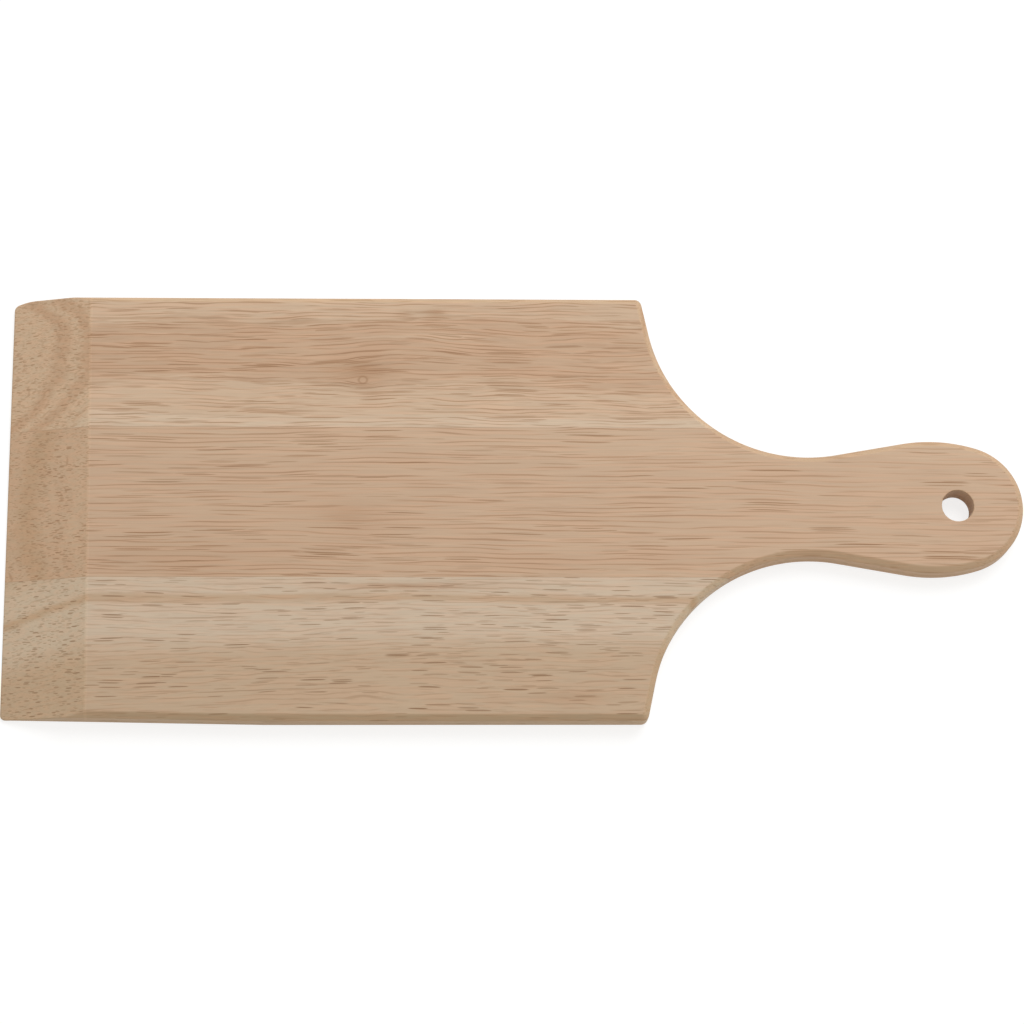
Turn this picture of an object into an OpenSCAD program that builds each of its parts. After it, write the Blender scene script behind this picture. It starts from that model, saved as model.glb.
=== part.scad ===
// Spaetzle board: a flat hardwood board with a thinned scraping edge and a handle with a hanging hole.
// It is glued up from three staves, sawn to shape, chamfered all round and sanded.
// Frame: +X runs from the scraping edge to the handle, +Y is left and +Z is up.
// The origin is under the middle of the board, on the surface that it lies on. Sizes are in millimetres.

/* [Board] */
// Overall length, from the scraping edge to the end of the handle
board_l = 350; // [300:1:420]
// Width of the blade
board_w = 150; // [125:1:180]
// Thickness of the wood
board_t = 10; // [7:0.5:16]

/* [Scraping edge] */
// Length of the slope that thins the blade, measured along the board
bevel_l = 28.5; // [16:0.5:60]
// Thickness left at the scraping edge
tip_t = 1.2; // [0.6:0.1:3]
// Turn of the hand-sanded slope away from square, in degrees
bevel_skew = 0.8; // [0:0.1:3]
// Radius of the two corners of the scraping edge, seen from above
tip_corner_r = 2; // [0.5:0.5:4]
// Radius to which the left edge is sanded off beside the scraping edge
left_ease_r = 20; // [14:1:40]
// Length of the left edge that is sanded off
left_ease_l = 8; // [5:0.5:12]
// Length of the taper along the right edge
right_taper_l = 90; // [40:5:120]
// Width that this taper takes off at the scraping edge
right_taper_in = 1.6; // [0.4:0.2:4]

/* [Shoulders] */
// Lean of the straight part of each shoulder away from square, in degrees
shoulder_lean = 12; // [0:1:22]
// Length of that straight part, measured from the sharp corner
shoulder_straight = 13.5; // [8:0.5:30]

/* [Handle] */
// Width of the neck at its narrowest
neck_w = 35.5; // [24:0.5:42]
// Angle at which each side of the grip widens towards the knob, in degrees
grip_taper = 10; // [6:0.5:15]
// Width of the knob at its widest
knob_w = 47; // [40:0.5:56]
// Radius of the knob's sides
knob_side_r = 55; // [42:1:90]
// Distance from the knob's widest place to its end
knob_crown = 31.8; // [26:0.2:38]

/* [Hanging hole] */
// Diameter of the hole
hole_d = 11; // [6:0.5:16]
// Distance from the end of the handle to the middle of the hole
hole_from_end = 23; // [16:0.5:40]

/* [Edges] */
// Width of the 45 degree chamfer along the top edges
edge_chamfer = 2; // [0.5:0.5:3]
// Width of the 45 degree chamfer along the bottom edges
under_chamfer = 1; // [0.5:0.5:2]
// Radius of the shoulder corners inside the wider chamfer
corner_r = 0.5; // [0.2:0.1:4]

/* [Glued staves] */
// Wood of the middle stave left beside the knob on the left
left_margin = 4; // [0.5:0.5:10]
// Wood of the middle stave left beside the knob on the right
right_margin = 2; // [0.5:0.5:10]
// Thickness of the glue film in each joint
glue_t = 0.15; // [0.05:0.05:0.3]

/* [Hidden] */
$fn = 96;

half_w = board_w / 2;
neck_half = neck_w / 2;
knob_half = knob_w / 2;
tip_x = -board_l / 2;
end_x = board_l / 2;

// Wood sawn away outside the outline, and how far each cut runs past the wood it trims
waste = half_w;
saw_margin = 1;
over = corner_r / 2;

// How far a cut runs on past its tangent point, into waste: a straight cut over a convex arc,
// and an arc, in degrees, over the flatter edge that it meets
lap = 1;
lap_angle = 1;

// Extra radius of an arc, so that it crosses the edge or arc that it is tangent to and doesn't only touch it
blend = 0.002;

// Glue joints: the handle is cut whole from the middle stave
left_joint = knob_half + left_margin;
right_joint = knob_half + right_margin;

// Knob: one arc on each side, and the end arc that is tangent to both
side_arc = [end_x - knob_crown, knob_half - knob_side_r];
end_r = (knob_side_r ^ 2 - knob_crown ^ 2 - side_arc.y ^ 2) / (2 * (knob_side_r - knob_crown));
end_arc = [end_x - end_r, 0];
end_angle = atan2(-side_arc.y, end_arc.x - side_arc.x);

// Scoop: the arc that is tangent to the shoulder and is lowest at the neck
scoop_r = (half_w - neck_half - shoulder_straight * cos(shoulder_lean)) / (1 - sin(shoulder_lean));

// Grip: the straight run that is tangent to the scoop and to the knob's side
grip_rise = knob_half - neck_half - (scoop_r + knob_side_r) * (1 - cos(grip_taper));
grip_run = grip_rise / sin(grip_taper);
grip_reach = grip_run * cos(grip_taper) + (scoop_r + knob_side_r) * sin(grip_taper);
scoop = [side_arc.x - grip_reach, neck_half + scoop_r];
grip_start = scoop + scoop_r * [sin(grip_taper), -cos(grip_taper)];

// Shoulder: its sharp corner, and the arc that rounds it
shoulder_dir = [sin(shoulder_lean), -cos(shoulder_lean)];
shoulder_end = scoop - scoop_r * [cos(shoulder_lean), sin(shoulder_lean)];
shoulder_corner = shoulder_end - shoulder_straight * shoulder_dir;
round_r = corner_r + max(edge_chamfer, under_chamfer);
round_tangent = round_r * tan(45 - shoulder_lean / 2);
round_lap = round_tangent / 2;
round_arc = [shoulder_corner.x - round_tangent, half_w - round_r];

// Sawn length of the side staves and glue films: well past the scoop's edge, and clear of its middle
side_end = scoop.x - saw_margin;

// Corners of the scraping edge: middle of the arc that rounds each one, and the angle at which it starts
left_ease = [tip_x + left_ease_l, half_w - left_ease_r];
left_ease_gap = sqrt((left_ease_r - tip_corner_r) ^ 2 - (left_ease_l - tip_corner_r) ^ 2);
left_tip = [tip_x + tip_corner_r, left_ease.y + left_ease_gap];
left_tip_angle = 90 + atan2(left_ease_l - tip_corner_r, left_ease_gap);
right_taper = atan2(right_taper_in, right_taper_l);
right_tip_in = right_taper_in + tip_corner_r / cos(right_taper) - tip_corner_r * tan(right_taper);
right_tip = [tip_x + tip_corner_r, half_w - right_tip_in];
right_tip_angle = 90 + right_taper;

// Section of a cut along an edge: [distance outside the outline, height], with both chamfers
function edge_section(depth) = [
    [depth, -over],
    [-under_chamfer - over, -over],
    [0, under_chamfer],
    [0, board_t - edge_chamfer],
    [-edge_chamfer - over, board_t + over],
    [depth, board_t + over]
];

// Waste along a straight edge that starts at a point and runs at an angle, with the waste on its left
module straight_cut(start, angle, run)
    translate(start)
        rotate(angle)
            rotate([90, 0, 90])
                linear_extrude(run)
                    polygon(edge_section(waste));

// Waste outside a convex arc
module convex_cut(centre, radius, from, to)
    translate(centre)
        rotate(from)
            rotate_extrude(angle = to - from)
                polygon([for (p = edge_section(waste)) [radius + p.x, p.y]]);

// Waste inside a concave arc
module concave_cut(centre, radius, from, to)
    translate(centre)
        rotate(from)
            rotate_extrude(angle = to - from)
                polygon([for (p = edge_section(radius)) [radius - p.x, p.y]]);

// Waste in the scoop between the left shoulder and the grip
module scoop_cut()
    concave_cut(scoop, scoop_r + blend, 180 + shoulder_lean - lap_angle, 270 + grip_taper + lap_angle);

// Waste along the left edge of the blade, round the shoulder's corner and down the shoulder
module blade_cut() {
    straight_cut([tip_x - saw_margin, half_w], 0, round_arc.x - tip_x + saw_margin + round_lap);
    convex_cut(round_arc, round_r + blend, shoulder_lean, 90);
    straight_cut(shoulder_corner + (round_tangent - round_lap) * shoulder_dir, shoulder_lean - 90,
        shoulder_straight - round_tangent + round_lap);
}

// Waste along the left side of the grip and knob
module grip_cut() {
    straight_cut(grip_start, grip_taper, grip_run + lap);
    convex_cut(side_arc, knob_side_r + blend, end_angle - lap_angle, 90 + grip_taper);
}

// Waste round the end of the knob
module end_cut()
    convex_cut(end_arc, end_r, -end_angle, end_angle);

// Waste above the slope of the scraping edge, on the whole width of the board
module bevel_cut() {
    slope = (board_t - tip_t) / bevel_l;
    back = 2 * bevel_l;
    ahead = bevel_l / 2;
    translate([tip_x + bevel_l, 0, board_t])
        rotate(bevel_skew)
            rotate([90, 0, 0])
                linear_extrude(2 * board_w, center = true)
                    polygon([[-back, -back * slope], [ahead, ahead * slope], [-back, ahead * slope]]);
}

// Waste outside a rounded corner of the scraping edge, on the left side
module tip_corner_cut(centre, radius, from)
    translate([centre.x, centre.y, -over])
        rotate(from)
            rotate_extrude(angle = 180 - from)
                translate([radius, 0])
                    square([radius + saw_margin, board_t + 2 * over]);

// Waste along the sanded-off end of the left edge
module left_ease_cut()
    convex_cut(left_ease, left_ease_r + blend, 90, 90 + asin((left_ease_l + saw_margin) / left_ease_r));

// Waste along the taper of the right edge, drawn on the left side
module right_taper_cut()
    translate([tip_x + right_taper_l, half_w])
        rotate(right_taper)
            straight_cut([-right_taper_l - saw_margin, 0], 0, right_taper_l + saw_margin + lap);

// Sawn stave or glue film between two distances from the centreline, from the tip to a given length
module blank(inner, outer, to_x)
    translate([tip_x, inner, 0])
        cube([to_x - tip_x, outer - inner, board_t]);

// Left stave of a board whose glue joint lies at the given distance from the centreline
module side_stave(joint)
    difference() {
        blank(joint + glue_t / 2, half_w + saw_margin, side_end);
        blade_cut();
        scoop_cut();
    }

// Glue film of a joint on the left side
module glue_film(joint)
    difference() {
        blank(joint - glue_t / 2, joint + glue_t / 2, side_end);
        scoop_cut();
    }

module left_stave()
    color([0.77, 0.65, 0.54])
        difference() {
            side_stave(left_joint);
            left_ease_cut();
            tip_corner_cut(left_tip, tip_corner_r + 2 * blend, left_tip_angle);
            bevel_cut();
        }

module middle_stave()
    color([0.75, 0.63, 0.52])
        difference() {
            blank(-right_joint + glue_t / 2, left_joint - glue_t / 2, end_x + saw_margin);
            for (side = [0, 1])
                mirror([0, side, 0]) {
                    scoop_cut();
                    grip_cut();
                }
            end_cut();
            bevel_cut();
            translate([end_x - hole_from_end, 0, -over])
                cylinder(d = hole_d, h = board_t + 2 * over);
        }

module right_stave()
    color([0.80, 0.71, 0.60])
        difference() {
            mirror([0, 1, 0])
                difference() {
                    side_stave(right_joint);
                    right_taper_cut();
                    tip_corner_cut(right_tip, tip_corner_r + blend, right_tip_angle);
                }
            bevel_cut();
        }

module left_glue_line()
    color([0.62, 0.48, 0.36])
        difference() {
            glue_film(left_joint);
            bevel_cut();
        }

module right_glue_line()
    color([0.62, 0.48, 0.36])
        difference() {
            mirror([0, 1, 0])
                glue_film(right_joint);
            bevel_cut();
        }

left_stave();
middle_stave();
right_stave();
left_glue_line();
right_glue_line();
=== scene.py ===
"""Looks of a spaetzle board: three glued staves with sanded edges, their wood, the glue and the studio."""

import math

import bmesh
import bpy
import numpy as np
from bpy.props import FloatProperty, FloatVectorProperty, PointerProperty
from bpy.types import Operator, Panel, PropertyGroup
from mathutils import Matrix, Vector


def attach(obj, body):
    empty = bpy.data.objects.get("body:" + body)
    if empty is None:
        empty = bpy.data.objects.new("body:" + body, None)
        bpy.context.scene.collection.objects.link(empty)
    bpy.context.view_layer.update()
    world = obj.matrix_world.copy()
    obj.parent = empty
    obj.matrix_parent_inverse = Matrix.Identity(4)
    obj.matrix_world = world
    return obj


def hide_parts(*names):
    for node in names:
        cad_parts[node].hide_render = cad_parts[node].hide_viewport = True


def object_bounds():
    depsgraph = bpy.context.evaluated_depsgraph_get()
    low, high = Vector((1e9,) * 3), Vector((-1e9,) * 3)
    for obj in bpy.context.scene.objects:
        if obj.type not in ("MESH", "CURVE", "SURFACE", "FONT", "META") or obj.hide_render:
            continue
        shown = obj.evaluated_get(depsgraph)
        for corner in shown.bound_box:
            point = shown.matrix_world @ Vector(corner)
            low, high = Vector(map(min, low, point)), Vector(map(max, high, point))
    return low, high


bl_info = {
    "name": "Spaetzle Board",
    "version": (1, 0, 0),
    "blender": (4, 5, 0),
    "location": "View3D > Sidebar > Board",
    "description": "Builds the staves and glue lines of a spaetzle board and sets its studio",
    "category": "Add Mesh",
}

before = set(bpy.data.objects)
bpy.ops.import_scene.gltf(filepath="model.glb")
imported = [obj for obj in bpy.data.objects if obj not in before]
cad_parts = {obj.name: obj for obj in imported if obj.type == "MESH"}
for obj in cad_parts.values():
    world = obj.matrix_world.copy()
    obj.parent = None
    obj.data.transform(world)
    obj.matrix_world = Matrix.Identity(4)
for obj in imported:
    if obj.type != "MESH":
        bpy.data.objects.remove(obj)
cad_low, cad_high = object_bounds()

MM = 0.001
BODY = "root"
# Points closer than this are one point
MERGE = 1e-6
# Faces that meet at more than this angle keep a crisp edge
CRISP = math.radians(40)

# Steps of the plan grids along each stretch of a piece
ROLL_STEPS = 5
CREASE_STEPS = 4
RIM_STEPS = 4
NOSE_STEPS = 9
RIDGE_STEPS = 6
SLOPE_STEPS = 14
BLADE_STEPS = 25
CORNER_STEPS = 10
SHOULDER_STEPS = 6
SIDE_SCOOP_STEPS = 20
SIDE_INNER_STEPS = 12
MIDDLE_SCOOP_STEPS = 36
GRIP_STEPS = 10
KNOB_STEPS = 8
BORE_STEPS = 32
CROWN_STEPS = 4
END_STEPS = 24
MIDDLE_INNER_STEPS = 8
FLOOR_STEPS = 2
# How far the close rows at the ridge reach past its blend, as a share of it
RIDGE_REACH = 1.2
# Share of the sanded edge's radius that is left upright where the top and the underside meet
UPRIGHT_SHARE = 0.25
# Depth of the floor below the board
FLOOR_DROP = 0.2 * MM


def linear(red, green, blue):
    """Linear colour of an 8 bit display colour."""
    share = np.array((red, green, blue)) / 255
    return tuple(np.where(share <= 0.04045, share / 12.92, ((share + 0.055) / 1.055) ** 2.4).tolist())


def size(name, description, millimetres):
    """A length that a user may change."""
    return FloatProperty(name=name, description=description, default=millimetres * MM, unit="LENGTH")


def turn(name, description, degrees):
    """An angle that a user may change."""
    return FloatProperty(name=name, description=description, default=math.radians(degrees),
                         subtype="ANGLE")


def share(name, description, value):
    """A plain number that a user may change."""
    return FloatProperty(name=name, description=description, default=value)


def spot(name, description, *metres):
    """A place that a user may change."""
    return FloatVectorProperty(name=name, description=description, default=metres, unit="LENGTH")


def colour(name, description, red, green, blue):
    """A colour that a user may change."""
    return FloatVectorProperty(name=name, description=description, default=linear(red, green, blue),
                               subtype="COLOR", min=0, max=1)


class BoardSizes(PropertyGroup):
    """Sizes of the board. They repeat those of its solids."""
    length: size("Length", "From the scraping edge to the handle's end", (cad_high.x - cad_low.x) / MM)
    width: size("Width", "Width of the blade", (cad_high.y - cad_low.y) / MM)
    thickness: size("Thickness", "Thickness of the wood", (cad_high.z - cad_low.z) / MM)
    slope_length: size("Slope length", "Length of the slope that thins the blade", 28.5)
    tip_thickness: size("Tip thickness", "Thickness left at the scraping edge", 1.2)
    slope_skew: turn("Slope skew", "Turn of the hand-sanded slope away from square", 0.8)
    tip_corner: size("Tip corner", "Radius of the corners of the scraping edge", 2)
    left_ease_radius: size("Left ease radius", "Radius to which the left edge is sanded at the tip", 20)
    left_ease_length: size("Left ease length", "Length of the left edge that is sanded off", 8)
    right_taper_length: size("Right taper length", "Length of the taper along the right edge", 90)
    right_taper_width: size("Right taper width", "Width that this taper takes off at the tip", 1.6)
    shoulder_lean: turn("Shoulder lean", "Lean of the straight part of each shoulder", 12)
    shoulder_straight: size("Shoulder straight", "Length of that part from the sharp corner", 13.5)
    shoulder_corner: size("Shoulder corner", "Radius of the shoulder corner inside the chamfer", 0.5)
    neck_width: size("Neck width", "Width of the neck at its narrowest", 35.5)
    grip_taper: turn("Grip taper", "Angle at which each side of the grip widens", 10)
    knob_width: size("Knob width", "Width of the knob at its widest", 47)
    knob_side_radius: size("Knob side radius", "Radius of the knob's sides", 55)
    knob_crown: size("Knob crown", "From the knob's widest place to its end", 31.8)
    hole_diameter: size("Hole diameter", "Diameter of the hanging hole", 11)
    hole_from_end: size("Hole from end", "From the end of the handle to the middle of the hole", 23)
    top_chamfer: size("Top chamfer", "Width of the chamfer along the top edges", 2)
    under_chamfer: size("Under chamfer", "Width of the chamfer along the bottom edges", 1)
    left_joint: size("Left joint", "From the centreline to the left glue joint", 27.5)
    right_joint: size("Right joint", "From the centreline to the right glue joint", 25.5)
    glue: size("Glue film", "Thickness of the glue film in each joint", 0.15)
    sanded_edge: size("Sanded edge", "Radius to which sanding rounds the edges", 0.35)
    sanded_ridge: size("Sanded ridge", "Height over which the slope blends into the face", 0.15)
    sanded_tip: size("Sanded tip", "Radius of the rounded scraping edge", 0.45)


def wood_finish(body, pale, brown, pore, pore_gap, pore_length, pore_width, pore_depth, crowd, fine, lines,
                ripple, dip, streaks, ring_gap, pith):
    """Properties of one stave's wood: four colours, and the sizes of its grain."""
    return {
        "body": colour("Body colour", "Colour of most of the wood", *body),
        "pale": colour("Pale colour", "Colour of the pale growth bands", *pale),
        "brown": colour("Brown colour", "Colour of the brown growth bands", *brown),
        "pore": colour("Pore colour", "Colour of the open pores", *pore),
        "pore_gap": size("Pore gap", "Distance between pores across the grain", pore_gap),
        "pore_length": size("Pore length", "Length of the pores along the grain", pore_length),
        "pore_width": share("Pore width", "Radius of a pore as a share of the gap", pore_width),
        "pore_depth": share("Pore depth", "How dark the pores are", pore_depth),
        "crowd": share("Crowding", "Share of the places for pores that hold one", crowd),
        "fine": share("Fine pores", "Darkness of the finer pores, as a share of the others'", fine),
        "lines": share("Grain lines", "Darkness of the thin grain lines, as a share of the pores'", lines),
        "ripple": size("Ripple", "How far the grain waves to and fro", ripple),
        "dip": size("Dip", "How far the grain rises and falls", dip),
        "streaks": share("Streaks", "Strength of the soft streaks between the pores", streaks),
        "ring_gap": size("Ring gap", "Distance between the thin growth lines", ring_gap),
        "pith_y": size("Pith across", "Place of the tree's middle across the board", pith[0]),
        "pith_z": size("Pith height", "Height of the tree's middle", pith[1]),
    }


class LeftWood(PropertyGroup):
    """Finish of the left stave: pinkish tan with dense long pores."""
    __annotations__ = wood_finish(
        body=(206, 176, 148), pale=(210, 184, 158), brown=(197, 163, 134), pore=(138, 98, 61),
        pore_gap=0.55, pore_length=21, pore_width=0.33, pore_depth=0.67, crowd=0.85, fine=0.7,
        lines=0.75, ripple=2.6, dip=2.6, streaks=0.24, ring_gap=2.1, pith=(54, -47.5))


class MiddleWood(PropertyGroup):
    """Finish of the middle stave: smooth pinkish tan with sparse long pores."""
    __annotations__ = wood_finish(
        body=(199, 167, 139), pale=(201, 170, 142), brown=(191, 158, 128), pore=(132, 93, 55),
        pore_gap=0.66, pore_length=30, pore_width=0.29, pore_depth=0.72, crowd=0.5, fine=0.9,
        lines=0.6, ripple=1.4, dip=1.4, streaks=0.15, ring_gap=6.438, pith=(-3, 245))


class RightWood(PropertyGroup):
    """Finish of the right stave: cream with short dark pores."""
    __annotations__ = wood_finish(
        body=(193, 165, 137), pale=(204, 181, 157), brown=(193, 163, 134), pore=(118, 83, 48),
        pore_gap=0.7, pore_length=13.5, pore_width=0.305, pore_depth=0.72, crowd=0.77, fine=0.55,
        lines=0.34, ripple=1.8, dip=3, streaks=0.1, ring_gap=4.2, pith=(18.2, -44.4))


# What is special to each stave's wood, in millimetres.
# Bands of growth, from the pith outwards: distance from the pith and colour.
# Knots: place along and across the board, and radius.
# Swells of the grain: place along and across the board, reach along and across, and rise.
# Stains, and calms with few pores: place along and across the board, half length and width, and strength.
LEFT_GRAIN = {
    "bands": ((46, "body"), (53.4, "body"), (54.5, "brown"), (55.3, "brown"), (56.2, "body"),
              (56.8, "body"), (57.4, "brown"), (58.3, "brown"), (58.9, "body"), (61.3, "body"),
              (61.9, "pale")),
    "knots": ((-53.1, 44.6, 1.4),),
    "swells": ((-44, 57, 22, 9, 3),),
    "stains": ((-53, 48, 10, 4.5, 0.5), (-28, 69, 3.5, 1.5, 0.55), (-38.7, 68.8, 3, 1.3, 0.4),
               (10, 71, 45, 5, 0.14)),
    "calms": ((-132, 40, 20, 6, 0.65),),
}
MIDDLE_GRAIN = {
    "bands": ((233, "body"), (235.9, "body"), (236.1, "pale"), (236.7, "pale"), (237.4, "body"),
              (239.6, "body"), (241.2, "brown"), (242.2, "brown"), (243.4, "body")),
    "stains": ((-57, -4, 11, 4, 0.3), (-115, -20, 35, 7, 0.2), (-58, -6, 30, 12, 0.07),
               (10, -22, 60, 5, 0.12)),
    "calms": ((-58, -6, 28, 11, 0.6), (130, 0, 55, 25, 0.42)),
}
RIGHT_GRAIN = {
    "bands": ((62, "body"), (69, "pale"), (73.4, "pale"), (74.6, "brown"), (75.2, "brown"),
              (76.6, "pale"), (84, "pale"), (91, "body")),
    "swells": ((40, -58, 120, 16, 4),),
    "stains": ((-36, -28.7, 24, 1.1, 0.65), (17.5, -67.2, 14, 1.9, 0.35)),
}


class StudioLook(PropertyGroup):
    """Camera, lamp, sky and floor."""
    camera_place: spot("Camera place", "Where the camera stands", -0.03819, -0.26721, 1.00027)
    camera_turn: FloatVectorProperty(name="Camera turn", description="Turn of the camera", subtype="EULER",
                                     default=tuple(math.radians(a) for a in (14.966, -1.9935, -0.4114)))
    camera_lens: share("Lens", "Focal length in millimetres on a 36 mm sensor", 105.27)
    sky: share("Sky", "Strength of the even light from all round", 0.5356)
    sky_colour: colour("Sky colour", "Colour of the even light", 255, 251, 243)
    lamp_power: share("Lamp power", "Power of the soft lamp in watts", 12.9)
    lamp_colour: colour("Lamp colour", "Colour of the soft lamp", 246, 250, 255)
    lamp_size: size("Lamp size", "Side of the soft lamp", 900)
    lamp_place: spot("Lamp place", "Where the soft lamp hangs", 0.45, 0.75, 1.15)
    floor_size: size("Floor size", "Side of the floor", 8000)
    floor_colour: colour("Floor colour", "Colour of the pale floor", 246, 246, 244)
    floor_glow: share("Floor glow", "White that the camera sees added to the floor", 0.78)
    floor_shade: share("Floor shade", "Share of the floor's own shading that the camera sees", 0.3)


class SpaetzleBoard(PropertyGroup):
    """Everything that can be changed on the board and its studio."""
    sizes: PointerProperty(type=BoardSizes)
    left: PointerProperty(type=LeftWood)
    middle: PointerProperty(type=MiddleWood)
    right: PointerProperty(type=RightWood)
    glue: colour("Glue colour", "Colour of the glue lines", 172, 139, 111)
    studio: PointerProperty(type=StudioLook)


def roll(inset, radius):
    """Drop of a rounded edge: a quarter circle, the full radius at the edge and nothing one radius in."""
    left = np.clip(radius - inset, 0, radius)
    return radius - np.sqrt(radius ** 2 - left ** 2)


def quarter(radius, steps):
    """Insets from nothing to the radius whose points are evenly spaced on a quarter circle."""
    return radius * (1 - np.cos(np.linspace(0, math.pi / 2, steps + 1)))


def soft_min(a, b, width):
    """Lower of two heights, with a parabola instead of the crease where they are closer than the width."""
    near = np.maximum(width - np.abs(a - b), 0)
    return np.minimum(a, b) - near ** 2 / (4 * width)


def bunched(middle, reach, steps):
    """Evenly spaced places round a crease."""
    return middle + reach * np.linspace(-1, 1, steps + 1)


class Outline:
    """The board's left half in plan, and its heights. All lengths are in metres and all angles in radians.

    The edge runs from the tip along the blade, round the shoulder's corner, down the shoulder, through the
    hollow scoop, along the grip and round the knob. Every stretch is a line or an arc that is tangent to
    the next, so an inset of the whole edge is the same chain with shifted lines and changed radii.
    """

    def __init__(self, s):
        self.s = s
        self.tip = -s.length / 2
        self.end = s.length / 2
        self.half = s.width / 2
        self.ridge = self.tip + s.slope_length
        knob = s.knob_width / 2
        neck = s.neck_width / 2
        lean = s.shoulder_lean
        self.knob_arc = np.array((self.end - s.knob_crown, knob - s.knob_side_radius))
        flat = s.knob_side_radius - s.knob_crown
        ends = s.knob_side_radius ** 2 - s.knob_crown ** 2 - self.knob_arc[1] ** 2
        self.end_radius = ends / (2 * flat)
        self.end_arc = np.array((self.end - self.end_radius, 0))
        self.end_angle = math.atan2(-self.knob_arc[1], self.end_arc[0] - self.knob_arc[0])
        drop = self.half - neck - s.shoulder_straight * math.cos(lean)
        self.scoop_radius = drop / (1 - math.sin(lean))
        arcs = self.scoop_radius + s.knob_side_radius
        grip_run = (knob - neck - arcs * (1 - math.cos(s.grip_taper))) / math.sin(s.grip_taper)
        reach = grip_run * math.cos(s.grip_taper) + arcs * math.sin(s.grip_taper)
        self.scoop = np.array((self.knob_arc[0] - reach, neck + self.scoop_radius))
        across_grip = np.array((math.sin(s.grip_taper), -math.cos(s.grip_taper)))
        self.grip_start = self.scoop + self.scoop_radius * across_grip
        self.grip_end = self.knob_arc - s.knob_side_radius * across_grip
        self.shoulder_end = self.scoop - self.scoop_radius * np.array((math.cos(lean), math.sin(lean)))
        corner = self.shoulder_end + s.shoulder_straight * np.array((-math.sin(lean), math.cos(lean)))
        self.round_radius = s.shoulder_corner + s.top_chamfer
        tangent = self.round_radius * math.tan(math.pi / 4 - lean / 2)
        self.round = np.array((corner[0] - tangent, self.half - self.round_radius))
        self.shoulder_start = self.round + self.round_radius * np.array((math.cos(lean), math.sin(lean)))
        self.insets = np.unique(np.concatenate((
            quarter(s.sanded_edge, ROLL_STEPS),
            bunched(s.under_chamfer, s.sanded_edge, CREASE_STEPS),
            bunched(s.top_chamfer, s.sanded_edge, CREASE_STEPS))))

    def joint(self, side):
        """Distance of a glue joint from the centreline."""
        return self.s.left_joint if side > 0 else self.s.right_joint

    def front(self, stop):
        """Places along the blade from the tip to a stop, close together at the tip and the ridge."""
        s = self.s
        blend = RIDGE_REACH * s.sanded_ridge * s.slope_length / (s.thickness - s.tip_thickness)
        nose = self.tip + quarter(s.tip_corner, NOSE_STEPS)
        crease = bunched(self.ridge, blend, RIDGE_STEPS)
        slope = np.linspace(nose[-1], crease[0], SLOPE_STEPS + 1)[1:-1]
        blade = np.linspace(crease[-1], stop, BLADE_STEPS + 1)[1:]
        return np.concatenate((nose, slope, crease, blade))

    def edge(self, x, side):
        """Distance of the blade's edge from the centreline: eased on the left and tapered on the right."""
        s = self.s
        if side > 0:
            ahead = np.maximum(self.tip + s.left_ease_length - x, 0)
            return self.half - s.left_ease_radius + np.sqrt(s.left_ease_radius ** 2 - ahead ** 2)
        ahead = np.maximum(self.tip + s.right_taper_length - x, 0)
        return self.half - ahead * s.right_taper_width / s.right_taper_length

    def corner_middle(self, side):
        """Distance of the middle of a tip corner's arc from the centreline."""
        s = self.s
        r = s.tip_corner
        if side > 0:
            ahead = s.left_ease_length - r
            gap = math.sqrt((s.left_ease_radius - r) ** 2 - ahead ** 2)
            return self.half - s.left_ease_radius + gap
        taper = math.atan2(s.right_taper_width, s.right_taper_length)
        return self.half - s.right_taper_width - r / math.cos(taper) + r * math.tan(taper)

    def corner(self, x, side):
        """Distance of a tip corner's arc from the centreline, up to where it touches the edge."""
        r = self.s.tip_corner
        ahead = np.clip(self.tip + r - x, 0, r)
        return self.corner_middle(side) + np.sqrt(r ** 2 - ahead ** 2) + np.where(ahead > 0, 0, self.half)

    def crossing(self, y, inset):
        """Place along the board where the scoop's edge, at an inset, is this far from the centreline."""
        return self.scoop[0] - np.sqrt((self.scoop_radius + inset) ** 2 - (self.scoop[1] - y) ** 2)

    def crossing_angle(self, y):
        """Angle on the scoop's arc, at every inset, of the point that is this far from the centreline."""
        return math.pi + np.arcsin((self.scoop[1] - y) / (self.scoop_radius + self.insets))

    def shear(self, x, y):
        """Slides a plan point along the board so that the row at the ridge follows the skewed ridge."""
        s = self.s
        hat = 1 - np.abs(x - self.ridge) / s.slope_length
        return x - np.maximum(hat, 0) * y * math.tan(s.slope_skew)

    def heights(self, x, y, inset):
        """Heights of the underside and the top at plan points that lie a given inset inside the edge.

        The top is the lowest of the face, the chamfer and the slope, blended where they meet, and the
        underside the higher of the floor and its chamfer. Both roll off at the edge, the tip and the hole.
        """
        s = self.s
        soft = roll(inset, s.sanded_edge)
        fall = (s.thickness - s.tip_thickness) / s.slope_length
        skewed = (x - self.ridge) * math.cos(s.slope_skew) + y * math.sin(s.slope_skew)
        chamfer = s.thickness - s.top_chamfer + inset
        up = soft_min(np.full_like(x, s.thickness), chamfer, s.sanded_edge)
        up = soft_min(up, s.thickness + fall * skewed, s.sanded_ridge) - soft
        low = -soft_min(np.zeros_like(x), inset - s.under_chamfer, s.sanded_edge) + soft
        beyond = np.abs(y) - np.where(y > 0, self.corner_middle(1), self.corner_middle(-1))
        beyond = np.clip(beyond, 0, s.tip_corner)
        bend = s.tip_corner - np.sqrt(s.tip_corner ** 2 - beyond ** 2)
        nose = np.maximum(x - self.tip - bend, x - self.tip - s.tip_corner / 2)
        hole = np.hypot(x - self.end + s.hole_from_end, y) - s.hole_diameter / 2
        both = roll(np.maximum(nose, 0), s.sanded_tip) + roll(np.maximum(hole, 0), s.sanded_edge)
        up = up - both
        low = np.minimum(low + both, up - s.sanded_edge * UPRIGHT_SHARE)
        return low, up


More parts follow.
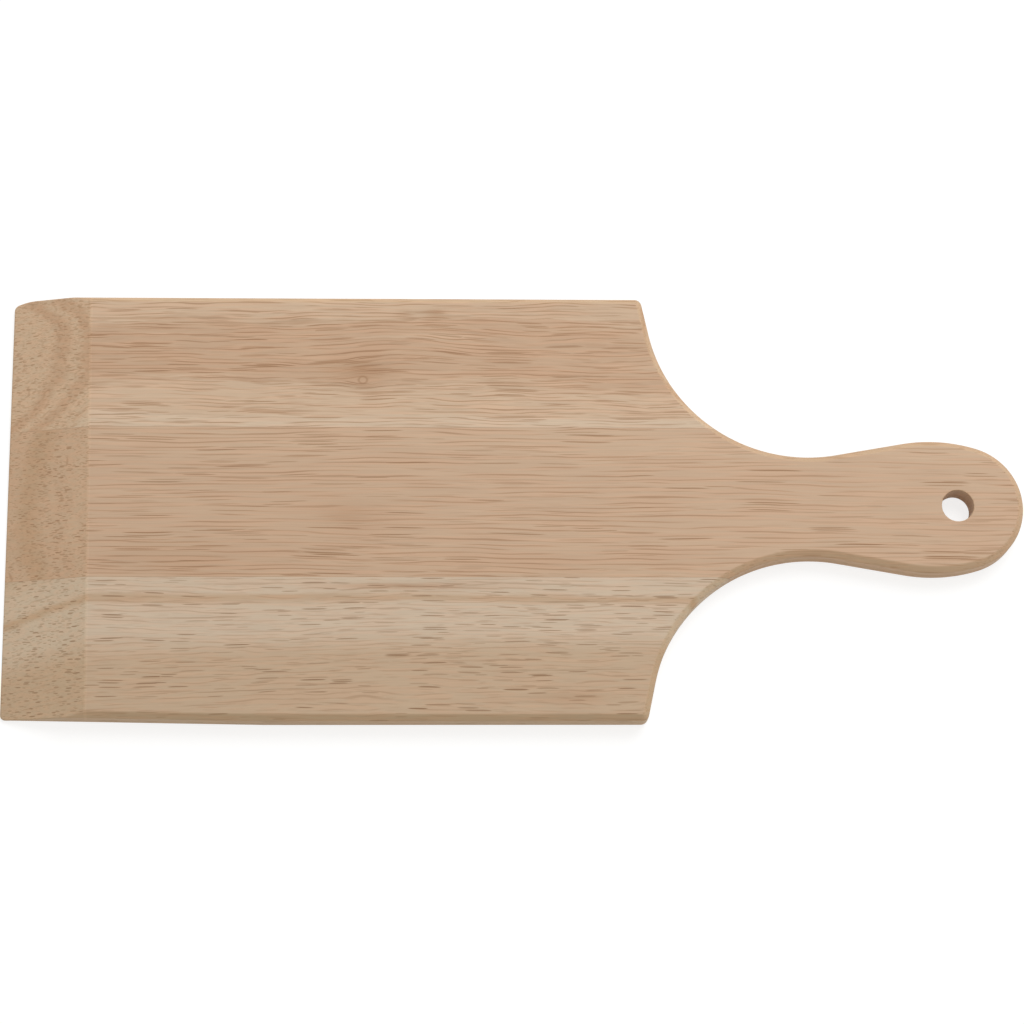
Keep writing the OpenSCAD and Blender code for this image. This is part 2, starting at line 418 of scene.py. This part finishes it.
def line_rows(start, stop, steps, insets):
    """Rows along a line: points between its ends, each moved to its right by every inset."""
    t = np.linspace(0, 1, steps + 1)[1:, None]
    run = stop - start
    along = run / np.hypot(*run)
    return start[0] + run[0] * t + insets * along[1], start[1] + run[1] * t - insets * along[0]


def arc_rows(centre, radius, angles, insets, bulge):
    """Rows along an arc: every inset shrinks its radius where the edge bulges and grows it in a hollow."""
    reach = radius - bulge * insets
    return centre[0] + reach * np.cos(angles), centre[1] + reach * np.sin(angles)


def sweep(first, last, steps):
    """Angles of the rows along an arc, without its first row; the ends may differ from inset to inset."""
    return first + (last - first) * np.linspace(0, 1, steps + 1)[1:, None]


def chained(rows, stretches, insets):
    """Rows of a first stretch, then those of the others, whose columns lie at the given insets."""
    others = [(x, y, np.broadcast_to(insets, x.shape)) for x, y in stretches]
    return tuple(np.concatenate(parts) for parts in zip(rows, *others))


def side_stave_plan(o, side):
    """Plan grid of a side stave: rows from the tip to the joint's end, columns from the edge inwards."""
    joint = o.joint(side) + o.s.glue / 2
    k = o.insets
    lean = o.s.shoulder_lean
    scoop_angles = sweep(math.pi + lean, o.crossing_angle(joint), SIDE_SCOOP_STEPS)
    x = np.repeat(o.front(o.round[0])[:, None], len(k), 1)
    y = np.minimum(o.edge(x, side), o.corner(x, side)) - k
    stretches = (
        arc_rows(o.round, o.round_radius, sweep(math.pi / 2, lean, CORNER_STEPS), k, 1),
        line_rows(o.shoulder_start, o.shoulder_end, SHOULDER_STEPS, k),
        arc_rows(o.scoop, o.scoop_radius, scoop_angles, k, -1),
    )
    x, y, inset = chained((x, y, o.edge(x, side) - y), stretches, k)
    inwards = np.linspace(0, 1, SIDE_INNER_STEPS + 1)[1:]
    x = np.hstack((x, np.repeat(x[:, -1:], len(inwards), 1)))
    y = np.hstack((y, y[:, -1:] + (joint - y[:, -1:]) * inwards))
    inset = np.hstack((inset, np.repeat(inset[:, -1:], len(inwards), 1)))
    return o.shear(x, side * y), side * y, inset


def knob_places(o):
    """Places of the knob's rows along the board: even, close together at the hole, and even again."""
    s = o.s
    inner = s.knob_side_radius - o.insets[-1]
    start = o.knob_arc[0] - inner * math.sin(s.grip_taper)
    stop = o.knob_arc[0] + inner * math.cos(o.end_angle)
    rim = s.hole_diameter / 2 + quarter(s.sanded_edge, RIM_STEPS)[1:]
    bore = s.hole_diameter / 2 * np.cos(np.linspace(0, math.pi, BORE_STEPS + 1))
    hole = o.end - s.hole_from_end + np.sort(np.concatenate((-rim, bore, rim)))
    before = np.linspace(start, hole[0], KNOB_STEPS + 1)[1:-1]
    after = np.linspace(hole[-1], stop, CROWN_STEPS + 1)[1:]
    return np.concatenate((before, hole, after))


def middle_edge(o, side):
    """Rows of the middle stave's edge on one side: along the joint, then scoop, grip and knob."""
    s = o.s
    k = o.insets
    joint = o.joint(side) - s.glue / 2
    x = np.repeat(o.front(o.crossing(joint, k[-1]))[:, None], len(k), 1)
    first = o.crossing_angle(joint)
    last = 1.5 * math.pi + s.grip_taper
    scoop_angles = first + (last - first) * np.linspace(0, 1, MIDDLE_SCOOP_STEPS + 1)[:, None]
    knob_angles = np.arccos((knob_places(o) - o.knob_arc[0]) / (s.knob_side_radius - k[-1]))[:, None]
    stretches = (
        arc_rows(o.scoop, o.scoop_radius, scoop_angles, k, -1),
        line_rows(o.grip_start, o.grip_end, GRIP_STEPS, k),
        arc_rows(o.knob_arc, s.knob_side_radius, knob_angles, k, 1),
        arc_rows(o.end_arc, o.end_radius, sweep(o.end_angle, 0, END_STEPS), k, 1),
    )
    return chained((x, np.full_like(x, joint), np.full_like(x, k[-1])), stretches, k)


def middle_half_plan(o, edge_rows, axis):
    """Plan grid of one half of the middle stave: from its edge to the centreline, or to the hole's rim."""
    x, y, inset = edge_rows
    s = o.s
    axis = axis[:, None]
    rim = s.hole_diameter / 2 + quarter(s.sanded_edge, RIM_STEPS)[::-1]
    rim_y = np.sqrt(np.maximum(rim ** 2 - (axis - o.end + s.hole_from_end) ** 2, 0))
    inwards = np.linspace(0, 1, MIDDLE_INNER_STEPS + 1)[1:-1]
    flat_x = x[:, -1:] + (axis - x[:, -1:]) * inwards
    flat_y = y[:, -1:] + (rim_y[:, :1] - y[:, -1:]) * inwards
    added = len(inwards) + len(rim)
    return (np.hstack((x, flat_x, np.repeat(axis, len(rim), 1))), np.hstack((y, flat_y, rim_y)),
            np.hstack((inset, np.repeat(inset[:, -1:], added, 1))))


def middle_stave_plan(o):
    """Plan grid of the middle stave: its left half, then its right half reversed, meeting at the axis."""
    left = middle_edge(o, 1)
    right = middle_edge(o, -1)
    axis = (left[0][:, -1] + right[0][:, -1]) / 2
    left = middle_half_plan(o, left, axis)
    right = middle_half_plan(o, right, axis)
    y = np.hstack((left[1], -right[1][:, ::-1]))
    x = o.shear(np.hstack((left[0], right[0][:, ::-1])), y)
    return x, y, np.hstack((left[2], right[2][:, ::-1]))


def middle_stave_runs(o, plan):
    """Walls of the middle stave round its edge and its hole, and which of its grid's quads are made.

    Along the joints the columns of the edge fall together, so only the innermost of them is used there.
    """
    rows, columns = plan[0].shape
    index = np.arange(rows * columns).reshape(rows, columns)
    rim = columns // 2 - 1
    inner = len(o.insets) - 1
    scoop = len(o.front(o.end))
    keep = np.ones((rows - 1, columns - 1), bool)
    keep[:, rim] = False
    keep[:scoop, :inner] = False
    keep[:scoop, -inner:] = False
    edge = np.concatenate((
        index[:scoop:-1, 0], index[scoop, :inner], index[scoop::-1, inner],
        index[0, inner + 1:-inner - 1], index[:scoop, -inner - 1], index[scoop, -inner - 1:-1],
        index[scoop:, -1]))
    far = np.abs(plan[0][:, rim] - o.end + o.s.hole_from_end)
    bore = np.flatnonzero(far < o.s.hole_diameter / 2 + MERGE)
    return [edge, index[bore, rim], index[bore, rim + 1]], keep


def glue_line_plan(o, side):
    """Plan grid of a glue line: rows from the tip to the scoop's edge, a column on each side."""
    y = o.joint(side) + o.s.glue / 2 * np.array((1, -1))
    deep = o.insets[::-1, None]
    front = np.stack([o.front(o.crossing(v, deep[0, 0])) for v in y], 1)
    x = np.vstack((front, o.crossing(y, deep)))
    inset = np.full_like(x, deep[0, 0])
    inset[-len(deep):] = deep
    y = side * np.broadcast_to(y, x.shape)
    return o.shear(x, y), y, inset


def slab(name, plan, heights, walls, keep=True):
    """Closed solid over a plan grid: a sheet of quads below, one above, and upright quads along the walls.

    The walls are runs of grid points. Where it is an array, keep says which of the grid's quads are made.
    """
    x, y = plan[:2]
    low, up = heights
    count = x.size
    index = np.arange(count).reshape(x.shape)
    quads = np.stack((index[:-1, :-1], index[1:, :-1], index[1:, 1:], index[:-1, 1:]), -1)
    quads = quads[np.broadcast_to(keep, quads.shape[:2])]
    upright = [np.stack((run[:-1], run[1:], run[1:] + count, run[:-1] + count), -1) for run in walls]
    faces = np.concatenate((quads, quads[:, ::-1] + count, *upright))
    points = np.concatenate([np.stack((x, y, z), -1).reshape(-1, 3) for z in (up, low)])
    mesh = bpy.data.meshes.new(name)
    mesh.from_pydata(points.tolist(), [], faces.tolist())
    solid = bmesh.new()
    solid.from_mesh(mesh)
    bmesh.ops.remove_doubles(solid, verts=solid.verts, dist=MERGE)
    bmesh.ops.dissolve_degenerate(solid, edges=solid.edges, dist=MERGE)
    bmesh.ops.recalc_face_normals(solid, faces=solid.faces)
    solid.to_mesh(mesh)
    solid.free()
    mesh.shade_smooth()
    mesh.set_sharp_from_angle(angle=CRISP)
    piece = bpy.data.objects.new(name, mesh)
    bpy.context.collection.objects.link(piece)
    weighted = piece.modifiers.new("Even shading", "WEIGHTED_NORMAL")
    weighted.keep_sharp = True
    return piece


def border(shape):
    """Grid points all the way round a plan grid, back to the first one."""
    index = np.arange(shape[0] * shape[1]).reshape(shape)
    return np.concatenate((index[:, 0], index[-1, 1:], index[-2::-1, -1], index[0, -2::-1]))


def settle(piece, node, material):
    """Gives a piece its material, hides the CAD node that it stands for, and lets it ride on the board."""
    piece.data.materials.append(material)
    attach(piece, BODY)
    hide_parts(node)


class Wire:
    """A shader socket that takes part in Python expressions: arithmetic on it adds Math nodes."""

    def __init__(self, tree, socket=None):
        self.tree = tree
        self.socket = socket

    def node(self, kind, settings=None, sockets=None, output=0):
        """Adds a node, sets its settings, then sets or links its sockets, and gives one of its outputs."""
        node = self.tree.nodes.new(kind)
        for name, value in (settings or {}).items():
            if name == "stops":
                ramp = node.color_ramp
                while len(ramp.elements) < len(value):
                    ramp.elements.new(1)
                for element, (place, shade) in zip(ramp.elements, value):
                    element.position = place
                    element.color = opaque(shade)
            else:
                setattr(node, name, value)
        for name, value in (sockets or {}).items():
            if isinstance(value, Wire):
                self.tree.links.new(value.socket, node.inputs[name])
            else:
                node.inputs[name].default_value = value
        return Wire(self.tree, node.outputs[output])

    def feed(self, node, socket):
        """Links this socket into one of an existing node."""
        self.tree.links.new(self.socket, node.inputs[socket])

    def sibling(self, output):
        """Another output of the same node."""
        return Wire(self.tree, self.socket.node.outputs[output])

    def math(self, operation, *values):
        """A Math node on one or more values."""
        return self.node("ShaderNodeMath", {"operation": operation}, dict(enumerate(values)))

    def __add__(self, other):
        return self.math("ADD", self, other)

    def __sub__(self, other):
        return self.math("SUBTRACT", self, other)

    def __rsub__(self, other):
        return self.math("SUBTRACT", other, self)

    def __mul__(self, other):
        return self.math("MULTIPLY", self, other)

    def __truediv__(self, other):
        return self.math("DIVIDE", self, other)

    def __pow__(self, other):
        return self.math("POWER", self, other)

    __radd__ = __add__
    __rmul__ = __mul__

    def point(self, x, y, z):
        """A vector of three values."""
        return self.node("ShaderNodeCombineXYZ", None, {0: x, 1: y, 2: z})

    def between(self, low, high):
        """Value that lies this share of the way from a low value to a high one."""
        return self * (high - low) + low

    def step(self, low, high):
        """0 below the low value, 1 above the high one and a smooth rise between."""
        return self.node("ShaderNodeMapRange", {"interpolation_type": "SMOOTHSTEP"},
                         {"Value": self, "From Min": low, "From Max": high})

    def scale(self, factor):
        """This colour made lighter or darker by a factor."""
        return self.node("ShaderNodeVectorMath", {"operation": "SCALE"}, {0: self, "Scale": factor})

    def tint(self, rgb):
        """This colour multiplied by another."""
        return self.node("ShaderNodeVectorMath", {"operation": "MULTIPLY"}, {0: self, 1: rgb})

    def blend(self, first, second):
        """Colour between two colours at this factor."""
        return self.node("ShaderNodeMix", {"data_type": "RGBA"}, {0: self, 6: first, 7: second}, 2)


def opaque(rgb):
    """A colour as the four numbers of a socket."""
    return (*rgb, 1)


WHITE = opaque((1, 1, 1))


def new_material(name):
    """A new material, its shader and a wire to start from."""
    material = bpy.data.materials.new(name)
    material.use_nodes = True
    shader = material.node_tree.nodes["Principled BSDF"]
    return material, shader, Wire(material.node_tree)


# Noises in the wood: length along the grain and width across it in millimetres, detail, and shift along it
SWAY = (130, 40, 1, 0)
LIFT = (140, 18, 1, 7.3)
WAVE = (32, 9, 2, 0)
RAGGED = (45, 3, 3, 0)
MOTTLE = (20, 5, 3, 0)
CROWDED = (80, 4, 2, 3.7)
BROKEN = (25, 3, 2, 0)
STREAK = (30, 0.9, 3, 0)
FIBRE = (25, 0.3, 2, 0)
# How far the grain sways and the growth bands stray in millimetres, and the share of the dip that ripples
SWAY_REACH = 5
RAGGED_REACH = 2.2
DIP_RIPPLE = 1 / 6
# Knots, in radii: reach along and across, where the dark ring starts, peaks and ends, and how oval it is
KNOT_REACH = (4, 2)
KNOT_PUSH = 0.8
KNOT_RING = (0.6, 1, 1.6)
KNOT_OVAL = 1.2
KNOT_DARK = 0.4
# Pores: gap in depth as a share of the gap across, bluntness of the ends, sizes, shades, rims and crowding
PORE_DEEP = 1.5
PORE_ENDS = 2.5
PORE_SIZES = (0.6, 1.3)
PORE_SHADES = (0.4, 1)
PORE_RIM = 0.7
PORE_CHANCE = 0.1
CROWD_SPREAD = 1.4
CROWD_END = 2
# Finer pores: size as a share of the others', shift along the grain, and strength on long and end grain
FINE_SIZE = 0.6
FINE_SHIFT = 500
FINE_SHOWN = (0.4, 1)
# Thin grain lines: patches where they show, warp, spacing in pore gaps, slant with depth, and width
LINE_PATCH_WIDTH = 1.2
LINE_PATCH_SHIFT = 11
LINE_PATCHES = (0.4, 0.6)
LINE_WARP_LENGTH = 1.4
LINE_WARP_WIDTH = 4
LINE_WARP = 1.8
LINE_GAP = 2.4
LINE_SLANT = 0.6
LINE_WIDTH = (0.07, 0.16)
# Late wood lines: width, where they break off, and darkness
LATE_WIDTH = (0.05, 0.22)
LATE_BREAKS = (0.45, 0.65)
LATE_DARK = 0.5
# Calm places turn pale; stains are mottled and bring out the grain lines
CALM_PALE = 0.2
STAIN = linear(168, 126, 92)
STAIN_MOTTLE = (0.4, 1.6)
STAIN_LINES = 0.5
# Faces by their normal: cut across the grain, tilted and upright, and how far pores fade on the first two
CUT = (0.1, 0.25)
TILTED = (0.4, 0.7)
UPRIGHT = (0.8, 0.95)
CUT_FADE = 0.15
TILT_FADE = 0.45
# Shifts of linear colour: pores, wood between, painted warm light on tilted faces, painted shade on
# chamfers
ROSY = (1.02, 0.995, 0.985)
COOL = (0.98, 1.005, 1.015)
PAINTED_WARM_LIGHT = (0.98, 0.97, 0.86)
PAINTED_WARM_SHARE = 0.3
PAINTED_CHAMFER_SHADE = (0.99, 0.975, 0.94)
# Lightness of the fibres and the mottling, and of the ridge line on the top alone: painted highlight and
# wear
FIBRE_LIGHT = 0.2
MOTTLE_LIGHT = 0.1
SHEEN_AND_WEAR_WIDTH = (0.3, 0.7)
SHEEN_AND_WEAR_HEIGHT = (4, 6)
SHEEN_AND_WEAR_LIGHT = 0.06
# Sanded surface: roughness, relief and gloss
ROUGHNESS = 0.62
PORE_ROUGH = 0.15
FIBRE_ROUGH = 0.1
RELIEF = 0.1 * MM
RELIEF_STRENGTH = 0.25
FIBRE_RELIEF = 0.4
GLOSS = 0.3
# Glue: size of its mottling, and how far its colour and roughness vary
GLUE_MOTTLE = 120
GLUE_DETAIL = 3
GLUE_SHADES = (0.8, 1.2)
GLUE_ROUGHNESS = (0.5, 0.7)


def noise(wire, grain, kind):
    """Smooth noise from 0 to 1 that is drawn out along the grain."""
    x, across, deep = grain
    length, width, detail, shift = kind
    place = wire.point(x / length + shift, across / width, deep / width)
    return wire.node("ShaderNodeTexNoise", {"noise_dimensions": "3D"},
                     {"Vector": place, "Scale": 1, "Detail": detail})


def hump(wire, x, y, place, reach):
    """A smooth hump: 1 at a place in plan, falling off over its reach along and across the grain."""
    along = (x - place[0]) / reach[0]
    across = (y - place[1]) / reach[1]
    return wire.math("EXPONENT", 0 - along * along - across * across)


def bent_grain(wire, place, look, knots, swells):
    """Place in the straight wood that a place in the board comes from: waves, swells and knots bend it."""
    x, y, z = place
    dip = look.dip / MM
    sway = noise(wire, place, SWAY) - 0.5
    lift = noise(wire, place, LIFT) - 0.5
    wave = noise(wire, place, WAVE) - 0.5
    across = y + sway * SWAY_REACH + wave * (look.ripple / MM)
    deep = z + lift * dip + wave * (dip * DIP_RIPPLE)
    for swell in swells:
        across = across - hump(wire, x, y, swell, swell[2:4]) * swell[4]
    for knot in knots:
        reach = [knot[2] * radii for radii in KNOT_REACH]
        across = across - (y - knot[1]) * hump(wire, x, y, knot, reach) * KNOT_PUSH
    return x, across, deep


def band_colour(wire, ring, look, bands):
    """Colour of the growth band at a distance from the pith."""
    first = bands[0][0]
    last = bands[-1][0]
    stops = [((radius - first) / (last - first), getattr(look, tone)) for radius, tone in bands]
    return wire.node("ShaderNodeValToRGB", {"stops": stops}, {0: (ring - first) / (last - first)})


def pores(wire, grain, gap, reach, width, crowd):
    """Long thin grains, one to a cell where there is a crowd: 1 inside a pore and 0 in the wood between.

    A pore is where the blunt distance to the random point of a cell is small; cells differ in their luck.
    """
    x, across, deep = grain
    place = wire.point(x / reach, across / gap, deep / (gap * PORE_DEEP))
    cells = wire.node("ShaderNodeTexVoronoi", {"voronoi_dimensions": "3D", "distance": "MINKOWSKI"},
                      {"Vector": place, "Scale": 1, "Exponent": PORE_ENDS}, "Distance")
    luck = wire.node("ShaderNodeSeparateColor", None, {0: cells.sibling("Color")})
    inside = 1 - (cells / luck.between(*PORE_SIZES)).step(width * PORE_RIM, width)
    chosen = (crowd - luck.sibling(2)).step(-PORE_CHANCE, PORE_CHANCE)
    return inside * chosen * luck.sibling(1).between(*PORE_SHADES)


def wood(name, look, outline, bands, knots=(), swells=(), stains=(), calms=()):
    """Solid wood whose grain runs along X: growth bands round the pith, pores as long grains, fine fibre.

    Everything is worked out from the place in the wood, so faces cut across the grain show its end.
    """
    material, shader, wire = new_material(name)
    place = wire.node("ShaderNodeTexCoord", None, None, "Object")
    split = wire.node("ShaderNodeSeparateXYZ", None, {0: place})
    x, y, z = (split.sibling(i) / MM for i in range(3))
    facing = wire.node("ShaderNodeSeparateXYZ", None, {0: place.sibling("Normal")})
    end = wire.math("ABSOLUTE", facing)
    cut = end.step(*CUT)
    tilt = wire.math("SQRT", 1 - facing.sibling(2) ** 2)
    grain = bent_grain(wire, (x, y, z), look, knots, swells)
    across, deep = grain[1:]
    ring = wire.math("SQRT", (across - look.pith_y / MM) ** 2 + (deep - look.pith_z / MM) ** 2)
    ragged = ring + (noise(wire, grain, RAGGED) - 0.5) * RAGGED_REACH
    base = band_colour(wire, ragged, look, bands)
    mottle = noise(wire, grain, MOTTLE)
    crowd = (noise(wire, grain, CROWDED) - 0.5) * CROWD_SPREAD + look.crowd + end * CROWD_END
    line = look.lines
    for calm in calms:
        still = hump(wire, x, y, calm, calm[2:4]) * calm[4]
        crowd = crowd * (1 - still)
        line = line * (1 - still)
        base = (still * CALM_PALE).blend(base, opaque(look.pale))
    for stain in stains:
        soak = hump(wire, x, y, stain, stain[2:4]) * mottle.between(*STAIN_MOTTLE) * stain[4]
        base = soak.blend(base, opaque(STAIN))
        crowd = crowd + soak
        line = line + soak * STAIN_LINES
    for knot in knots:
        far = wire.math("SQRT", (x - knot[0]) ** 2 + ((y - knot[1]) * KNOT_OVAL) ** 2) / knot[2]
        rim = far.step(*KNOT_RING[:2]) * (1 - far.step(*KNOT_RING[1:]))
        base = (rim * KNOT_DARK).blend(base, opaque(look.pore))
    gap = look.pore_gap / MM
    reach = look.pore_length / MM
    coarse = pores(wire, grain, gap, reach, look.pore_width, crowd)
    aside = (x + FINE_SHIFT, across, deep)
    fine = pores(wire, aside, gap * FINE_SIZE, reach * FINE_SIZE, look.pore_width, crowd)
    pore = wire.math("MAXIMUM", coarse, fine * look.fine * cut.between(*FINE_SHOWN))
    apart = noise(wire, grain, (reach, LINE_PATCH_WIDTH, 1, LINE_PATCH_SHIFT)).step(*LINE_PATCHES)
    warp = noise(wire, grain, (reach * LINE_WARP_LENGTH, LINE_WARP_WIDTH, 1, 0)) - 0.5
    phase = (across + deep * LINE_SLANT) / (gap * LINE_GAP) + warp * LINE_WARP
    lines = 1 - wire.math("PINGPONG", phase, 0.5).step(*LINE_WIDTH)
    pore = wire.math("MAXIMUM", pore, lines * apart * (1 - cut) * line)
    late = 1 - wire.math("PINGPONG", ragged, look.ring_gap / MM / 2).step(*LATE_WIDTH)
    broken = noise(wire, grain, BROKEN).step(*LATE_BREAKS)
    pore = wire.math("MAXIMUM", pore, late * broken * LATE_DARK)
    streak = noise(wire, grain, STREAK) - 0.5
    fibre = noise(wire, grain, FIBRE) - 0.5
    # Lighter line along the ridge on the top: partly painted highlight of the rounded ridge, partly wear
    ridge_sheen_and_wear = wire.math("ABSOLUTE", x - outline.ridge / MM + y * math.tan(outline.s.slope_skew))
    light = 1 + streak * look.streaks + fibre * FIBRE_LIGHT + (mottle - 0.5) * MOTTLE_LIGHT
    light = light + (1 - ridge_sheen_and_wear.step(*SHEEN_AND_WEAR_WIDTH)) * z.step(*SHEEN_AND_WEAR_HEIGHT) * SHEEN_AND_WEAR_LIGHT
    dark = (1 - cut * CUT_FADE - tilt.step(*TILTED) * TILT_FADE) * look.pore_depth
    tone = (pore * dark).blend(base, opaque(look.pore)).scale(light)
    tone = wire.math("MAXIMUM", apart, pore).blend(tone.tint(COOL), tone.tint(ROSY))
    # Painted warm light: faces that are not flat are tinted warmer
    tone = wire.math("MINIMUM", tilt, PAINTED_WARM_SHARE).blend(tone, tone.tint(PAINTED_WARM_LIGHT))
    # Painted shade: the chamfers are tinted darker and warmer
    painted_chamfer_mask = tilt.step(*TILTED) * (1 - tilt.step(*UPRIGHT))
    tone = painted_chamfer_mask.blend(tone, tone.tint(PAINTED_CHAMFER_SHADE))
    tone.feed(shader, "Base Color")
    rough = ROUGHNESS + pore * PORE_ROUGH + fibre * FIBRE_ROUGH
    rough.feed(shader, "Roughness")
    relief = wire.node("ShaderNodeBump", None, {"Strength": RELIEF_STRENGTH, "Distance": RELIEF,
                                                "Height": fibre * FIBRE_RELIEF - pore})
    relief.feed(shader, "Normal")
    shader.inputs["Specular IOR Level"].default_value = GLOSS
    return material


def glue(look):
    """Cured glue: a matt brown film with a little mottling."""
    material, shader, wire = new_material("Glue")
    place = wire.node("ShaderNodeTexCoord", None, None, "Object")
    mottle = wire.node("ShaderNodeTexNoise", None,
                       {"Vector": place, "Scale": GLUE_MOTTLE, "Detail": GLUE_DETAIL})
    dark, pale = (opaque([channel * shade for channel in look]) for shade in GLUE_SHADES)
    mottle.blend(dark, pale).feed(shader, "Base Color")
    mottle.between(*GLUE_ROUGHNESS).feed(shader, "Roughness")
    return material


def seen(wire):
    """1 for what the camera sees, straight or in gloss or glass, and 0 for light that falls on things."""
    rays = wire.node("ShaderNodeLightPath", None, None, "Is Camera Ray")
    others = wire.math("MAXIMUM", rays.sibling("Is Glossy Ray"), rays.sibling("Is Transmission Ray"))
    return wire.math("MAXIMUM", rays, others)


class BOARD_OT_side_staves(Operator):
    """Builds the two side staves, each with its edge, shoulder and part of the slope"""
    bl_idname = "board.side_staves"
    bl_label = "Side Staves"

    def execute(self, context):
        board = context.scene.spaetzle_board
        outline = Outline(board.sizes)
        for name, side, look, grain in (("left", 1, board.left, LEFT_GRAIN),
                                        ("right", -1, board.right, RIGHT_GRAIN)):
            plan = side_stave_plan(outline, side)
            piece = slab(f"{name}_stave_wood", plan, outline.heights(*plan), [border(plan[0].shape)])
            material = wood(f"{name.title()} wood", look, outline, **grain)
            settle(piece, f"{name}_stave", material)
        return {"FINISHED"}


class BOARD_OT_middle_stave(Operator):
    """Builds the middle stave, which holds the whole handle and the hanging hole"""
    bl_idname = "board.middle_stave"
    bl_label = "Middle Stave"

    def execute(self, context):
        board = context.scene.spaetzle_board
        outline = Outline(board.sizes)
        plan = middle_stave_plan(outline)
        walls, keep = middle_stave_runs(outline, plan)
        piece = slab("middle_stave_wood", plan, outline.heights(*plan), walls, keep)
        material = wood("Middle wood", board.middle, outline, **MIDDLE_GRAIN)
        settle(piece, "middle_stave", material)
        return {"FINISHED"}


class BOARD_OT_glue_lines(Operator):
    """Builds the thin glue lines between the staves"""
    bl_idname = "board.glue_lines"
    bl_label = "Glue Lines"

    def execute(self, context):
        board = context.scene.spaetzle_board
        outline = Outline(board.sizes)
        material = glue(board.glue)
        for name, side in (("left", 1), ("right", -1)):
            plan = glue_line_plan(outline, side)
            piece = slab(f"{name}_glue_film", plan, outline.heights(*plan), [border(plan[0].shape)])
            settle(piece, f"{name}_glue_line", material)
        return {"FINISHED"}


class BOARD_OT_studio(Operator):
    """Sets the camera, the soft lamp, the even sky and the pale floor"""
    bl_idname = "board.studio"
    bl_label = "Studio"

    def execute(self, context):
        scene = context.scene
        look = scene.spaetzle_board.studio
        scene.view_settings.view_transform = "Standard"
        self.camera(scene, look)
        self.lamp(scene, look)
        self.sky(scene, look)
        self.floor(scene, look)
        return {"FINISHED"}

    def camera(self, scene, look):
        """Sets the camera at the photograph's viewing angle."""
        data = bpy.data.cameras.new("Camera")
        data.lens = look.camera_lens
        camera = bpy.data.objects.new("Camera", data)
        camera.location = look.camera_place
        camera.rotation_euler = look.camera_turn
        scene.collection.objects.link(camera)
        scene.camera = camera

    def lamp(self, scene, look):
        """Hangs the soft lamp behind the board and turns it to the board's middle."""
        data = bpy.data.lights.new("Soft lamp", "AREA")
        data.energy = look.lamp_power
        data.color = look.lamp_colour
        data.size = look.lamp_size
        lamp = bpy.data.objects.new("Soft lamp", data)
        lamp.location = look.lamp_place
        lamp.rotation_euler = (-lamp.location).to_track_quat("-Z", "Y").to_euler()
        scene.collection.objects.link(lamp)

    def sky(self, scene, look):
        """Lights the board evenly from all round, and shows the camera plain white."""
        world = bpy.data.worlds.new("Even sky")
        world.use_nodes = True
        wire = Wire(world.node_tree)
        light = wire.node("ShaderNodeBackground", None,
                          {"Color": opaque(look.sky_colour), "Strength": look.sky})
        white = wire.node("ShaderNodeBackground", None, {"Color": WHITE, "Strength": 1})
        both = wire.node("ShaderNodeMixShader", None, {0: seen(wire), 1: light, 2: white})
        both.feed(world.node_tree.nodes["World Output"], "Surface")
        scene.world = world

    def floor(self, scene, look):
        """Lays the pale floor, a flat grid just under the board, whose glow leaves only a faint shadow."""
        t = np.linspace(-look.floor_size / 2, look.floor_size / 2, FLOOR_STEPS + 1)
        x, y = (a.ravel() for a in np.meshgrid(t, t))
        index = np.arange(x.size).reshape(len(t), len(t))
        quads = np.stack((index[:-1, :-1], index[:-1, 1:], index[1:, 1:], index[1:, :-1]), -1)
        points = np.stack((x, y, np.full_like(x, -FLOOR_DROP)), -1)
        mesh = bpy.data.meshes.new("Floor")
        mesh.from_pydata(points.tolist(), [], quads.reshape(-1, 4).tolist())
        floor = bpy.data.objects.new("Floor", mesh)
        scene.collection.objects.link(floor)
        material, shader, wire = new_material("Floor")
        material.node_tree.nodes.remove(shader)
        plain = wire.node("ShaderNodeBsdfDiffuse", None, {"Color": opaque(look.floor_colour)})
        dim = wire.node("ShaderNodeBsdfDiffuse", None, {"Color": opaque([look.floor_shade] * 3)})
        glow = wire.node("ShaderNodeEmission", None, {"Color": WHITE, "Strength": look.floor_glow})
        shown = wire.node("ShaderNodeAddShader", None, {0: dim, 1: glow})
        both = wire.node("ShaderNodeMixShader", None, {0: seen(wire), 1: plain, 2: shown})
        both.feed(material.node_tree.nodes["Material Output"], "Surface")
        mesh.materials.append(material)


class BOARD_PT_panel(Panel):
    """Lists the steps that build the board"""
    bl_label = "Spaetzle Board"
    bl_idname = "BOARD_PT_panel"
    bl_space_type = "VIEW_3D"
    bl_region_type = "UI"
    bl_category = "Board"

    def draw(self, context):
        for step in STEPS:
            self.layout.operator(step.bl_idname)
        board = context.scene.spaetzle_board
        for group in (board.sizes, board.left, board.middle, board.right, board.studio):
            box = self.layout.box()
            for name in group.__annotations__:
                box.prop(group, name)


GROUPS = (BoardSizes, LeftWood, MiddleWood, RightWood, StudioLook, SpaetzleBoard)
STEPS = (BOARD_OT_side_staves, BOARD_OT_middle_stave, BOARD_OT_glue_lines, BOARD_OT_studio)
CLASSES = (*GROUPS, *STEPS, BOARD_PT_panel)


def register():
    """Registers the classes and gives the scene the board's settings."""
    for cls in CLASSES:
        bpy.utils.register_class(cls)
    bpy.types.Scene.spaetzle_board = PointerProperty(type=SpaetzleBoard)


def unregister():
    """Takes back what register did."""
    del bpy.types.Scene.spaetzle_board
    for cls in reversed(CLASSES):
        bpy.utils.unregister_class(cls)


def main():
    """Builds every piece and the studio."""
    register()
    bpy.ops.board.side_staves()
    bpy.ops.board.middle_stave()
    bpy.ops.board.glue_lines()
    bpy.ops.board.studio()


if __name__ == "__main__":
    main()
